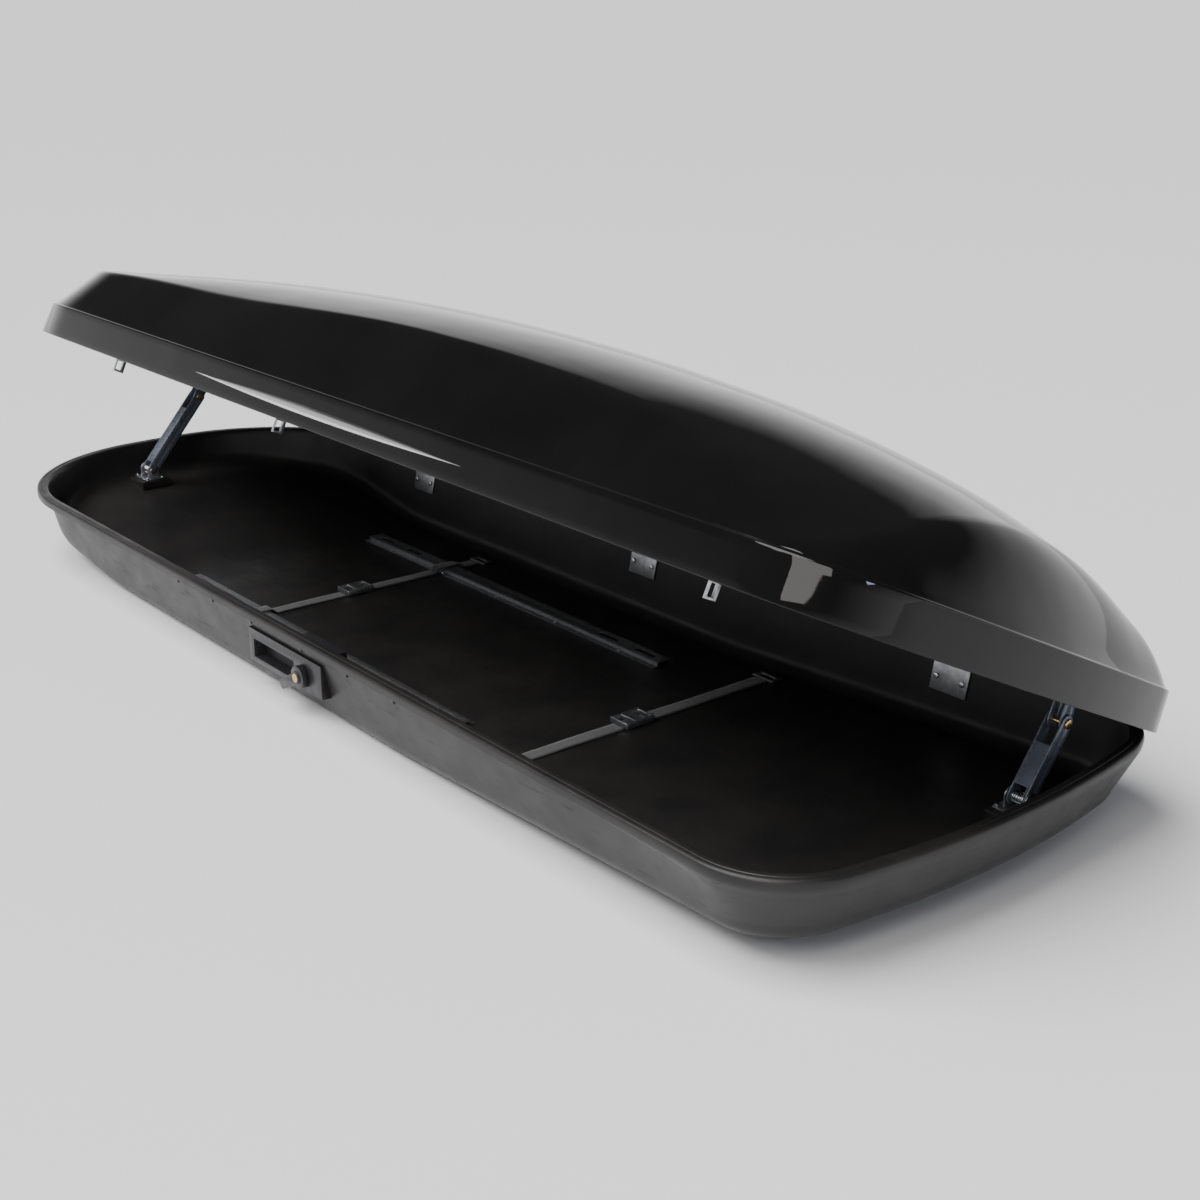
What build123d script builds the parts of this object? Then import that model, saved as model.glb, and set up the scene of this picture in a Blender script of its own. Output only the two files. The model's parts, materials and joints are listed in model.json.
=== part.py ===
from build123d import *
import math
import os

# Roof cargo box: a shallow tray, an overlapping domed lid hinged along the far
# long side (+Y), two sprung elbow lifters, and a turn handle on the near long
# side (-Y) that slides a lock bar.  Millimetres.  Origin: middle of the flat
# underside.  +X is the nose, +Z is up.  The lid is drawn open, at its stops.

# ---- overall sizes
LID_LENGTH = 2220.0
LID_WIDTH = 740.0
TRAY_DEPTH = 130.0
LID_OPEN = 25.5

# ---- plan outline: an end bow and a corner radius at each end
REAR_BOW = 1230.0
REAR_CORNER = 330.0
NOSE_BOW = 1360.0
NOSE_CORNER = 150.0
CORNER_FLAT = 30.0

# ---- lid shell
LID_WALL = 4.0
LID_OVERLAP = 12.0
BAND_HEIGHT = 55.0
BAND_DRAFT = 3.0
LEDGE = 8.0
FLANK_LEAN = 33.0
SHOULDER_RADIUS = 26.0
CROWN_HALF = LID_WIDTH * 0.365
ROOF_SPARE = 7.0
ROOF_HALF = LID_WIDTH * 0.622
# station along the length, ridge height above the lid edge, drop at CROWN_HALF
ROOF_STATIONS = [(-1180, 117, 6), (-750, 203, 47), (-360, 246, 74), (150, 260, 72), (600, 240, 68),
                 (900, 196, 68), (1180, 112, 44)]

# ---- tray shell
TRAY_WALL = 4.0
TRAY_DRAFT = 12.0
BODY_INSET = 30.0
LIP_INSET = 15.0
LIP_THICK = 5.0
LIP_DEPTH = 12.0
LIP_ROLL = 4.0
BILGE_RADIUS = 30.0
TAIL_START = -620.0
TAIL_SLOPE = 0.142
NOSE_START = 290.0
NOSE_SLOPE = 0.045
KEEL_BEND = 500.0
OVERCUT = 5.0

# ---- roof bar slots and floor rails
BAR_X = (-480.0, 180.0)
STUD_PITCH = 90.0
SLOT_ROW = 190.0
SLOT_LENGTH = 50.0
SLOT_WIDTH = 9.0
RAIL_WIDTH = 46.0
RAIL_HEIGHT = 8.0
RAIL_SHEET = 2.0
RAIL_END = 20.0
RAIL_FLANGE = 9.0
RAIL_RIVET_R = 3.2
RAIL_RIVET_HIGH = 1.8
RAIL_RIVET_IN = 4.5

# ---- hinges
HINGE_CLEAR = 1.0
HINGE_IN = BODY_INSET + TRAY_WALL + HINGE_CLEAR
HINGE_UP = 6.0
HINGE_X = (-600.0, 60.0, 720.0)
KNUCKLE_R = 5.0
PIN_R = 2.5
RUN_CLEAR = 0.05
KNUCKLE_MID = 24.0
KNUCKLE_END = 14.0
KNUCKLE_GAP = 0.5
LEAF_SHEET = 2.5
LEAF_GAP = 0.3
LEAF_DOWN = 62.0
LEAF_TOP = 6.0
WING_HALF = 32.0
WING_TOP = 20.0
LID_LEAF_UP = 14.0
LEAF_SCREW_X = 23.0
LEAF_SCREW_R = 4.0
LEAF_SCREW_DOWN = 42.0
LID_SCREW_DOWN = 16.0

# ---- lock
HANDLE_X = 80.0
HANDLE_Z = 62.0
HANDLE_DROOP = 28.0
HANDLE_TURN = 62.0
HANDLE_SHAFT_R = 8.0
HANDLE_ARM = 52.0
HANDLE_ARM_HALF = 8.0
HOUSING_X = (-80.0, 132.0)
HOUSING_Z = (40.0, 92.0)
HOUSING_PROUD = 4.0
TUB_Z = (44.0, 80.0)
TUB_EDGE = 10.0
TUB_DEPTH = 24.0
CYLINDER_R = 6.5
CRANK_R = 14.0
PEG_R = 2.5
PEG_CLEAR = 0.6
BAR_Z = (84.0, 96.0)
BAR_ENDS = (-660.0, 925.0)
BAR_THICK = 3.0
BAR_OFF_WALL = 5.0
GUIDE_X = (-500.0, -210.0, 330.0, 800.0)
HOOK_X = (-590.0, -40.0, 900.0)
SLIDE_CLEAR = 0.4

# ---- trim
TRIM_X = (-272.0, 446.0)
TRIM_UP = 24.0
TRIM_HALF = 7.0
TRIM_PROUD = 2.6
CLIP_X = (-320.0, -200.0, -75.0, 75.0, 200.0, 320.0)

# ---- lifters: station along the length, then foot, elbow and lid pivots as (y, z), lid open
HINGE_Y = LID_WIDTH / 2 - HINGE_IN
FRONT_LIFTER = (995.0, (HINGE_Y - 203.0, 70.0), (HINGE_Y - 140.0, 155.0), (HINGE_Y - 92.0, 263.0))
REAR_LIFTER = (-1020.0, (HINGE_Y - 390.0, 88.0), (HINGE_Y - 275.0, 222.0), (HINGE_Y - 225.0, 306.0))
ARM_HALF = 11.0
ARM_SHEET = 2.0
LOWER_HALF_X = 13.0
UPPER_HALF_X = 9.5
RIVET_R = 4.0
TOP_PIN_R = 3.0
SLOT_CLEAR = 0.6
SLOT_STEPS = 8
BRACKET_CLEAR = 1.5
FOOT_PAD_HALF = 30.0
FOOT_BASE_DROP = 13.5
LOWER_WEB = (14.0, 34.0)
UPPER_WEB = (30.0, 16.0)
CHEEK_CLEAR = 1.0
LID_CHEEK_CLEAR = 2.0
RIVET_HEAD_R = 6.5
RIVET_HEAD = 2.4
PIN_HEAD_R = 5.0
PIN_HEAD = 1.6
SPRING_WIRE = 2.2
SPRING_TURNS = 6
SPRING_PITCH = 3.0
BRACKET_HALF_X = 26.0
FOOT_BRACKET_HALF = 20.0
FOOT_CHEEK_HALF = 12.0
FOOT_BOLT_X = 22.5
FOOT_BOLT_Y = 16.0
LID_BOLT_X = 21.5
BOLT_R = 3.2
BOLT_HIGH = 3.0
POST_X = 21.0
POST_HALF_X = 5.0
POST_HALF_Y = 14.0

# ---- load straps
STRAP_X = (-330.0, 420.0)
STRAP_HALF = 12.5
STRAP_THICK = 1.6
STRAP_REACH = 255.0
BUCKLE_HALF = (19.0, 26.0)
BUCKLE_HIGH = 9.0
BUCKLE_WINDOW = (8.0, 22.0)
WINDOW_HALF = 14.0
ANCHOR_HALF = (22.0, 10.0)
ANCHOR_OUT = 11.0
ANCHOR_HIGH = 3.0
ANCHOR_SLOT = 4.0

EDGE_Z = TRAY_DEPTH - LID_OVERLAP
HINGE_Z = TRAY_DEPTH + HINGE_UP
WALL_ACROSS = TRAY_WALL / math.cos(math.radians(TRAY_DRAFT))
FLOOR_Z = TRAY_WALL


def tan(degrees):
    return math.tan(math.radians(degrees))


def block(x, y, z):
    """A box from three (low, high) pairs."""
    size = [pair[1] - pair[0] for pair in (x, y, z)]
    centre = [(pair[1] + pair[0]) / 2 for pair in (x, y, z)]
    return Pos(*centre) * Box(*size)


def rod(axis, centre, radius, length):
    """A round bar along one axis, centred on a point."""
    turn = {"x": Rot(0, 90, 0), "y": Rot(90, 0, 0), "z": Rot(0, 0, 0)}[axis]
    return Pos(*centre) * turn * Cylinder(radius, length)


def prism_x(points, x0, x1):
    """A (y, z) polygon carried from x0 to x1."""
    face = make_face(Polyline(*[(x0, y, z) for y, z in points], close=True))
    return extrude(face, x1 - x0, dir=(1, 0, 0))


def opened(shape):
    """Turn a piece of the closed lid to the open position."""
    return Pos(0, HINGE_Y, HINGE_Z) * Rot(-LID_OPEN, 0, 0) * Pos(0, -HINGE_Y, -HINGE_Z) * shape


def write(name, shape):
    export_step(shape, "parts/" + name + ".step")


os.makedirs("parts", exist_ok=True)


def end_arcs(tip, bow, corner, half, side):
    """Contact point and arc middle for the near corner of one end of the outline."""
    bow_centre = tip - side * bow
    run = math.sqrt((bow - corner) ** 2 - (half - corner) ** 2)
    corner_x = bow_centre + side * run
    ux = side * run / (bow - corner)
    uy = -(half - corner) / (bow - corner)
    touch = (bow_centre + bow * ux, bow * uy)
    length = math.hypot(ux, uy - 1)
    middle = (corner_x + corner * ux / length, -(half - corner) + corner * (uy - 1) / length)
    return corner_x, touch, middle


def plan(inset, z):
    """The plan outline as a flat face, moved in from the lid's lower edge."""
    half = LID_WIDTH / 2
    rear_corner = min(REAR_CORNER, half - CORNER_FLAT)
    nose_corner = min(NOSE_CORNER, half - CORNER_FLAT)
    rear_tip = -LID_LENGTH / 2 + inset
    nose_tip = LID_LENGTH / 2 - inset
    half = half - inset
    rear_x, rear_touch, rear_mid = end_arcs(rear_tip, REAR_BOW - inset, rear_corner - inset, half, -1)
    nose_x, nose_touch, nose_mid = end_arcs(nose_tip, NOSE_BOW - inset, nose_corner - inset, half, 1)

    def near(point):
        return (point[0], point[1], z)

    def far(point):
        return (point[0], -point[1], z)

    rear_side = (rear_x, -half)
    nose_side = (nose_x, -half)
    edges = [
        ThreePointArc(far(rear_touch), (rear_tip, 0, z), near(rear_touch)),
        ThreePointArc(near(rear_touch), near(rear_mid), near(rear_side)),
        Line(near(rear_side), near(nose_side)),
        ThreePointArc(near(nose_side), near(nose_mid), near(nose_touch)),
        ThreePointArc(near(nose_touch), (nose_tip, 0, z), far(nose_touch)),
        ThreePointArc(far(nose_touch), far(nose_mid), far(nose_side)),
        Line(far(nose_side), far(rear_side)),
        ThreePointArc(far(rear_side), far(rear_mid), far(rear_touch)),
    ]
    face = make_face(edges)
    if face.faces()[0].normal_at().Z < 0:
        return -face.faces()[0]
    return face.faces()[0]


def roof_body(lowered):
    """Everything under the roof surface: crowned sections joined along the length."""
    sections = []
    for x, ridge, drop in ROOF_STATIONS:
        radius = (CROWN_HALF ** 2 + drop ** 2) / (2 * drop)
        top = EDGE_Z + ridge - lowered
        side = top - (radius - math.sqrt(radius ** 2 - ROOF_HALF ** 2))
        a = (x, -ROOF_HALF, -TRAY_DEPTH)
        b = (x, -ROOF_HALF, side)
        c = (x, ROOF_HALF, side)
        d = (x, ROOF_HALF, -TRAY_DEPTH)
        sections.append(make_face([Line(a, b), ThreePointArc(b, (x, 0, top), c), Line(c, d), Line(d, a)]))
    return loft(sections)


def lid_form(wall):
    """The closed lid as a solid: the outside for wall 0, the inside for a wall."""
    foot = EDGE_Z - (OVERCUT if wall else 0)
    ledge_z = EDGE_Z + BAND_HEIGHT - wall
    band = extrude(plan(wall, foot), ledge_z - foot, taper=BAND_DRAFT)
    inset = LEDGE + wall / math.cos(math.radians(FLANK_LEAN)) - wall * tan(FLANK_LEAN)
    rise = max(station[1] for station in ROOF_STATIONS) - BAND_HEIGHT + ROOF_SPARE
    flank = extrude(plan(inset, ledge_z), rise, taper=FLANK_LEAN)
    upper = flank & roof_body(wall)
    top = upper.faces().sort_by(Axis.Z)[-1]
    upper = fillet(top.edges(), SHOULDER_RADIUS - wall)
    return band + upper


def wall_out(z):
    """Half width of the tray's outside at a height."""
    return LID_WIDTH / 2 - BODY_INSET - (TRAY_DEPTH - z) * tan(TRAY_DRAFT)


def wall_in(z):
    return wall_out(z) - WALL_ACROSS


def floor_at(x):
    """Height of the tray's inner floor."""
    return FLOOR_Z + max(0, (TAIL_START - x) * TAIL_SLOPE, (x - NOSE_START) * NOSE_SLOPE)


def tray_form(wall):
    """The tray as a solid: the outside for wall 0, the inside for a wall."""
    top = TRAY_DEPTH + (OVERCUT if wall else 0)
    inset = BODY_INSET + (WALL_ACROSS if wall else 0) - (top - TRAY_DEPTH) * tan(TRAY_DRAFT)
    sides = extrude(plan(inset, top), top + OVERCUT, dir=(0, 0, -1), taper=TRAY_DRAFT)
    reach = LID_LENGTH / 2
    tail = (-reach, (TAIL_START + reach) * TAIL_SLOPE + wall)
    nose = (reach, (reach - NOSE_START) * NOSE_SLOPE + wall)
    bend_a = (TAIL_START, wall)
    bend_b = (NOSE_START, wall)
    roof = 2 * TRAY_DEPTH
    half = LID_WIDTH / 2
    keel = FilletPolyline(*[(x, -half, z) for x, z in (tail, bend_a, bend_b, nose)], radius=KEEL_BEND)
    side = Polyline(keel @ 1, (reach, -half, roof), (-reach, -half, roof), keel @ 0)
    slab = extrude(make_face([*keel.edges(), *side.edges()]), LID_WIDTH, dir=(0, 1, 0))
    form = sides & slab
    bottom = form.faces().filter_by(lambda face: face.normal_at().Z < -0.9)
    edges = [edge for face in bottom for edge in face.edges()]
    outline = [edge for edge in edges if sum(edge.is_same(other) for other in edges) == 1]
    return fillet(outline, BILGE_RADIUS - wall)


def stud_slots():
    """Cutters for the slotted holes that take the roof bar fastenings."""
    cut = []
    for bar_x in BAR_X:
        for side in (-1, 1):
            for stud in (-1, 1):
                slot = SlotOverall(SLOT_LENGTH, SLOT_WIDTH)
                place = Pos(bar_x + stud * STUD_PITCH / 2, side * SLOT_ROW, -OVERCUT)
                cut.append(extrude(place * slot, 2 * OVERCUT + TRAY_WALL + RAIL_HEIGHT))
    return cut


def foot_pad(lifter):
    """A flat pad on the floor under a lifter's foot."""
    x, foot, _, _ = lifter
    top = foot[1] - FOOT_BASE_DROP
    low = floor_at(x) - TRAY_WALL / 2
    return block((x - FOOT_PAD_HALF, x + FOOT_PAD_HALF), (foot[0] - FOOT_PAD_HALF, foot[0] + FOOT_PAD_HALF),
                 (low, top - ARM_SHEET))


def tray_shell():
    lip = extrude(plan(LIP_INSET, EDGE_Z), LIP_DEPTH)
    lip = fillet(lip.faces().sort_by(Axis.Z)[-1].edges(), LIP_ROLL)
    lip -= extrude(plan(LIP_INSET + LIP_THICK, EDGE_Z - 1), LIP_DEPTH - LIP_THICK + 1)
    shell = tray_form(0) + lip - tray_form(TRAY_WALL)
    shell += foot_pad(FRONT_LIFTER)
    shell += foot_pad(REAR_LIFTER)
    for slot in stud_slots():
        shell -= slot
    window_x = (HOUSING_X[0] + TUB_EDGE - SLIDE_CLEAR, HOUSING_X[1] - TUB_EDGE + SLIDE_CLEAR)
    window_z = (TUB_Z[0] - SLIDE_CLEAR, TUB_Z[1] + SLIDE_CLEAR)
    shell -= block(window_x, (-LID_WIDTH / 2, -wall_in(0) + TUB_DEPTH), window_z)
    return shell


write("tray_shell", tray_shell())


# ---- floor rails: folded steel hats riveted along the floor, slotted with it
def floor_rail(side):
    x0 = BAR_X[0] - STUD_PITCH / 2 - SLOT_LENGTH / 2 - RAIL_END
    x1 = BAR_X[1] + STUD_PITCH / 2 + SLOT_LENGTH / 2 + RAIL_END
    y = side * SLOT_ROW
    half = RAIL_WIDTH / 2
    crown = half - RAIL_FLANGE
    low = FLOOR_Z
    high = FLOOR_Z + RAIL_HEIGHT
    sheet = RAIL_SHEET
    points = [(-half, low), (-half, low + sheet), (-crown, low + sheet), (-crown, high), (crown, high),
              (crown, low + sheet), (half, low + sheet), (half, low), (crown - sheet, low),
              (crown - sheet, high - sheet), (-crown + sheet, high - sheet), (-crown + sheet, low)]
    rail = prism_x([(y + py, pz) for py, pz in points], x0, x1)
    for slot in stud_slots():
        rail -= slot
    return rail


write("floor_rail_near", floor_rail(-1))
write("floor_rail_far", floor_rail(1))

rivet_x = [BAR_X[0] + (BAR_X[1] - BAR_X[0]) * step / 4 for step in range(5)]
rail_rivets = []
for x in rivet_x:
    for row in (-SLOT_ROW, SLOT_ROW):
        for edge in (-1, 1):
            y = row + edge * (RAIL_WIDTH / 2 - RAIL_RIVET_IN)
            seat = FLOOR_Z + RAIL_SHEET + RAIL_RIVET_HIGH / 2
            rail_rivets.append(Pos(x, y, seat) * Cylinder(RAIL_RIVET_R, RAIL_RIVET_HIGH))
write("rail_rivets", Compound(rail_rivets))


# ---- hinges along the far side
def hinge_tray_leaf(x):
    """Leaf on the inside of the far wall, with the middle knuckle."""
    low = TRAY_DEPTH - LEAF_DOWN
    high = TRAY_DEPTH - LEAF_TOP
    wing_z = TRAY_DEPTH - WING_TOP
    foot = wall_in(low) - LEAF_GAP
    top = wall_in(high) - LEAF_GAP
    wing_y = wall_in(wing_z) - LEAF_GAP
    leaf = prism_x([(foot, low), (top, high), (HINGE_Y + KNUCKLE_R * 0.4, HINGE_Z), (HINGE_Y - KNUCKLE_R, HINGE_Z),
                    (top - LEAF_SHEET, high), (foot - LEAF_SHEET, low)],
                   x - KNUCKLE_MID / 2, x + KNUCKLE_MID / 2)
    wing = prism_x([(foot, low), (wing_y, wing_z), (wing_y - LEAF_SHEET, wing_z), (foot - LEAF_SHEET, low)],
                   x - WING_HALF, x + WING_HALF)
    knuckle = rod("x", (x, HINGE_Y, HINGE_Z), KNUCKLE_R, KNUCKLE_MID)
    return leaf + wing + knuckle - rod("x", (x, HINGE_Y, HINGE_Z), PIN_R + RUN_CLEAR, KNUCKLE_MID + 2)


def hinge_lid_leaf(x):
    """Leaf on the inside of the lid band, with the two outer knuckles."""
    band_in = LID_WIDTH / 2 - LID_WALL - BAND_HEIGHT * tan(BAND_DRAFT) - LEAF_GAP
    low = TRAY_DEPTH + LID_LEAF_UP
    high = EDGE_Z + BAND_HEIGHT - LID_WALL - 4
    leaf = None
    for side in (-1, 1):
        start = x + side * (KNUCKLE_MID / 2 + KNUCKLE_GAP)
        stop = start + side * KNUCKLE_END
        x0, x1 = sorted((start, stop))
        arm = prism_x([(HINGE_Y - KNUCKLE_R * 0.5, HINGE_Z), (HINGE_Y + KNUCKLE_R * 0.5, HINGE_Z),
                       (HINGE_Y + KNUCKLE_R * 0.5, low - LEAF_SHEET), (band_in, low - LEAF_SHEET),
                       (band_in, low), (HINGE_Y - KNUCKLE_R * 0.5, low)], x0, x1)
        arm += rod("x", ((x0 + x1) / 2, HINGE_Y, HINGE_Z), KNUCKLE_R, KNUCKLE_END)
        arm -= rod("x", (x, HINGE_Y, HINGE_Z), PIN_R, 4 * KNUCKLE_MID)
        leaf = arm if leaf is None else leaf + arm
    plate = block((x - WING_HALF, x + WING_HALF), (band_in - LEAF_SHEET, band_in), (low - LEAF_SHEET, high))
    return leaf + plate


leaf_screws = []
lid_screws = []
for name, x in zip(("rear", "middle", "front"), HINGE_X):
    write("hinge_tray_leaf_" + name, hinge_tray_leaf(x))
    write("hinge_lid_leaf_" + name, opened(hinge_lid_leaf(x)))
    for side in (-1, 1):
        screw_x = x + side * LEAF_SCREW_X
        z = TRAY_DEPTH - LEAF_SCREW_DOWN
        y = wall_in(z) - LEAF_GAP - LEAF_SHEET - 1.5
        leaf_screws.append(Pos(screw_x, y, z) * Rot(90 - TRAY_DRAFT, 0, 0) * Cylinder(LEAF_SCREW_R, 2.4))
        band = LID_WIDTH / 2 - LID_WALL - BAND_HEIGHT * tan(BAND_DRAFT) - LEAF_GAP - LEAF_SHEET
        lid_screws.append(rod("y", (screw_x, band - 1, EDGE_Z + BAND_HEIGHT - LID_SCREW_DOWN), LEAF_SCREW_R, 2))
pins = [rod("x", (x, HINGE_Y, HINGE_Z), PIN_R, KNUCKLE_MID + 2 * KNUCKLE_END + 4) for x in HINGE_X]
write("hinge_pins", opened(Compound(pins)))
write("hinge_tray_screws", Compound(leaf_screws))
write("hinge_lid_screws", opened(Compound(lid_screws)))


# ---- lifters
def turned(point, centre, degrees):
    c = math.cos(math.radians(degrees))
    s = math.sin(math.radians(degrees))
    y = point[0] - centre[0]
    z = point[1] - centre[1]
    return (centre[0] + y * c - z * s, centre[1] + y * s + z * c)


def heading(start, end):
    return math.degrees(math.atan2(end[1] - start[1], end[0] - start[0]))


def lifter_motion(lifter):
    """Arm angles open and closed, and the path of the upper arm's end in the closed lid."""
    _, foot, elbow, top = lifter
    hinge = (HINGE_Y, HINGE_Z)
    lower = math.dist(foot, elbow)
    upper = math.dist(elbow, top)
    shut_top = turned(top, hinge, LID_OPEN)
    reach = math.dist(foot, shut_top)
    corner = math.acos((lower ** 2 + reach ** 2 - upper ** 2) / (2 * lower * reach))
    lower_open = heading(foot, elbow)
    upper_open = heading(elbow, top)
    lower_shut = heading(foot, shut_top) - math.degrees(corner)
    shut_elbow = turned((foot[0] + lower, foot[1]), foot, lower_shut)
    upper_shut = heading(shut_elbow, shut_top)
    path = []
    for step in range(SLOT_STEPS + 1):
        share = step / SLOT_STEPS
        lower_now = lower_open + (lower_shut - lower_open) * share
        upper_now = upper_open + (upper_shut - upper_open) * share
        elbow_now = turned((foot[0] + lower, foot[1]), foot, lower_now)
        end_now = turned((elbow_now[0] + upper, elbow_now[1]), elbow_now, upper_now)
        path.append(turned(end_now, hinge, LID_OPEN * (1 - share)))
    return lower_open, upper_open, shut_top, path


def plate_link(length, half_width, x0, x1):
    """A flat link lying along +Y from the origin, rounded about both pivots."""
    link = block((x0, x1), (0, length), (-half_width, half_width))
    for y in (0, length):
        link += rod("x", ((x0 + x1) / 2, y, 0), half_width, x1 - x0)
    return link


def channel(length, half_x, web_start, web_end):
    """Two cheeks and a web on the +Z side."""
    arm = plate_link(length, ARM_HALF, half_x - ARM_SHEET, half_x)
    arm += plate_link(length, ARM_HALF, -half_x, -half_x + ARM_SHEET)
    arm += block((-half_x, half_x), (web_start, length - web_end), (ARM_HALF - ARM_SHEET, ARM_HALF))
    return arm


def swung(shape, x, pivot, degrees):
    return Pos(x, pivot[0], pivot[1]) * Rot(degrees, 0, 0) * shape


def coil(radius, wire, turns, pitch):
    """A helical torsion spring about X with one straight leg along +Y."""
    helix = Helix(pitch=pitch, height=turns * pitch, radius=radius)
    section = Plane(origin=helix @ 0, z_dir=helix % 0) * Circle(wire / 2)
    wound = Pos(-turns * pitch / 2, 0, 0) * Rot(0, 90, 0) * sweep(section, path=helix)
    leg = rod("y", (turns * pitch / 2 - wire, 24, radius - 0.5), wire / 2, 56)
    return wound + leg


def lifter_parts(end, lifter):
    x, foot, elbow, top = lifter
    lower_open, upper_open, shut_top, path = lifter_motion(lifter)
    lower = math.dist(foot, elbow)
    upper = math.dist(elbow, top)

    arm = channel(lower, LOWER_HALF_X, *LOWER_WEB)
    arm -= rod("x", (0, 0, 0), RIVET_R + RUN_CLEAR, 4 * LOWER_HALF_X)
    arm -= rod("x", (0, lower, 0), RIVET_R, 4 * LOWER_HALF_X)
    write("lower_arm_" + end, swung(arm, x, foot, lower_open))

    rivet = rod("x", (0, lower, 0), RIVET_R, 2 * LOWER_HALF_X + 3)
    for side in (-1, 1):
        rivet += rod("x", (side * (LOWER_HALF_X + RIVET_HEAD / 2), lower, 0), RIVET_HEAD_R, RIVET_HEAD)
    write("elbow_rivet_" + end, swung(rivet, x, foot, lower_open))
    spring = coil(RIVET_R + SPRING_PITCH, SPRING_WIRE, SPRING_TURNS, SPRING_PITCH)
    write("lifter_spring_" + end, swung(spring, x, foot, lower_open))

    link = channel(upper, UPPER_HALF_X, *UPPER_WEB)
    link -= rod("x", (0, 0, 0), RIVET_R + RUN_CLEAR, 4 * LOWER_HALF_X)
    link -= rod("x", (0, upper, 0), TOP_PIN_R, 4 * LOWER_HALF_X)
    write("upper_arm_" + end, swung(link, x, elbow, upper_open))
    cheek_x = UPPER_HALF_X + LID_CHEEK_CLEAR
    pin_half = cheek_x + ARM_SHEET + CHEEK_CLEAR
    pin = rod("x", (0, upper, 0), TOP_PIN_R, 2 * pin_half)
    for side in (-1, 1):
        pin += rod("x", (side * (pin_half + PIN_HEAD / 2), upper, 0), PIN_HEAD_R, PIN_HEAD)
    write("top_pin_" + end, swung(pin, x, elbow, upper_open))

    # foot bracket: a folded U bolted to the pad, with its pivot pin
    base = foot[1] - FOOT_BASE_DROP
    bracket_x = LOWER_HALF_X + CHEEK_CLEAR
    plate_x = (x - BRACKET_HALF_X, x + BRACKET_HALF_X)
    bracket = block(plate_x, (foot[0] - FOOT_BRACKET_HALF, foot[0] + FOOT_BRACKET_HALF), (base - ARM_SHEET, base))
    for side in (-1, 1):
        x0, x1 = sorted((x + side * bracket_x, x + side * (bracket_x + ARM_SHEET)))
        cheek_y = (foot[0] - FOOT_CHEEK_HALF, foot[0] + FOOT_CHEEK_HALF)
        cheek = block((x0, x1), cheek_y, (base - ARM_SHEET, foot[1]))
        bracket += cheek + rod("x", ((x0 + x1) / 2, foot[0], foot[1]), FOOT_CHEEK_HALF, ARM_SHEET)
    bracket -= rod("x", (x, foot[0], foot[1]), RIVET_R, 80)
    write("foot_bracket_" + end, bracket)
    foot_pin = rod("x", (x, foot[0], foot[1]), RIVET_R, 2 * (bracket_x + ARM_SHEET))
    for side in (-1, 1):
        head_x = x + side * (bracket_x + ARM_SHEET + 1)
        foot_pin += rod("x", (head_x, foot[0], foot[1]), RIVET_HEAD_R, 2)
    write("foot_pin_" + end, foot_pin)

    # lid bracket: two cheeks under a plate, with a slot that the top pin wanders along
    path_y = [point[0] for point in path]
    rise = max(point[1] for point in path) - shut_top[1]
    middle = (min(path_y) + max(path_y)) / 2
    plate_z = shut_top[1] + rise + ARM_HALF + BRACKET_CLEAR + ARM_SHEET
    cheek_half = ARM_HALF + (max(path_y) - min(path_y)) / 4
    bracket = block(plate_x, (middle - cheek_half, middle + cheek_half), (plate_z - ARM_SHEET, plate_z))
    for side in (-1, 1):
        x0, x1 = sorted((x + side * cheek_x, x + side * (cheek_x + ARM_SHEET)))
        cheek = block((x0, x1), (middle - cheek_half, middle + cheek_half), (shut_top[1], plate_z))
        bracket += cheek + rod("x", ((x0 + x1) / 2, middle, shut_top[1]), cheek_half, ARM_SHEET)
    half = TOP_PIN_R + SLOT_CLEAR
    for start, stop in zip(path[:-1], path[1:]):
        run = math.dist(start, stop)
        step_cut = block((-40, 40), (0, run), (-half, half)) + rod("x", (0, run, 0), half, 80)
        bracket -= swung(step_cut, x, start, heading(start, stop))
    bracket -= rod("x", (x, path[0][0], path[0][1]), half, 80)
    write("lid_bracket_" + end, opened(bracket))
    return plate_z, middle


front_plate, front_plate_y = lifter_parts("front", FRONT_LIFTER)
rear_plate, rear_plate_y = lifter_parts("rear", REAR_LIFTER)
bracket_places = [(FRONT_LIFTER[0], front_plate_y, front_plate), (REAR_LIFTER[0], rear_plate_y, rear_plate)]

foot_bolts = []
for x, foot, _, _ in (FRONT_LIFTER, REAR_LIFTER):
    for side_x in (-1, 1):
        for side_y in (-1, 1):
            seat = foot[1] - FOOT_BASE_DROP + BOLT_HIGH / 2
            place = (x + side_x * FOOT_BOLT_X, foot[0] + side_y * FOOT_BOLT_Y, seat)
            foot_bolts.append(rod("z", place, BOLT_R, BOLT_HIGH))
write("foot_bolts", Compound(foot_bolts))


# ---- lid shell, with a boss over each lifter bracket
def lid_shell():
    shell = lid_form(0) - lid_form(LID_WALL)
    core = lid_form(LID_WALL / 2)
    for x, y, z in bracket_places:
        for side in (-1, 1):
            middle = x + side * POST_X
            post_x = (middle - POST_HALF_X, middle + POST_HALF_X)
            post = block(post_x, (y - POST_HALF_Y, y + POST_HALF_Y), (z, z + 2 * TRAY_DEPTH))
            shell += post & core
    return shell


write("lid_shell", opened(lid_shell()))

bracket_bolts = []
for x, y, z in bracket_places:
    for side in (-1, 1):
        bracket_bolts.append(rod("z", (x + side * LID_BOLT_X, y, z - ARM_SHEET - BOLT_HIGH / 2), BOLT_R, BOLT_HIGH))
write("lid_bracket_bolts", opened(Compound(bracket_bolts)))


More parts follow.
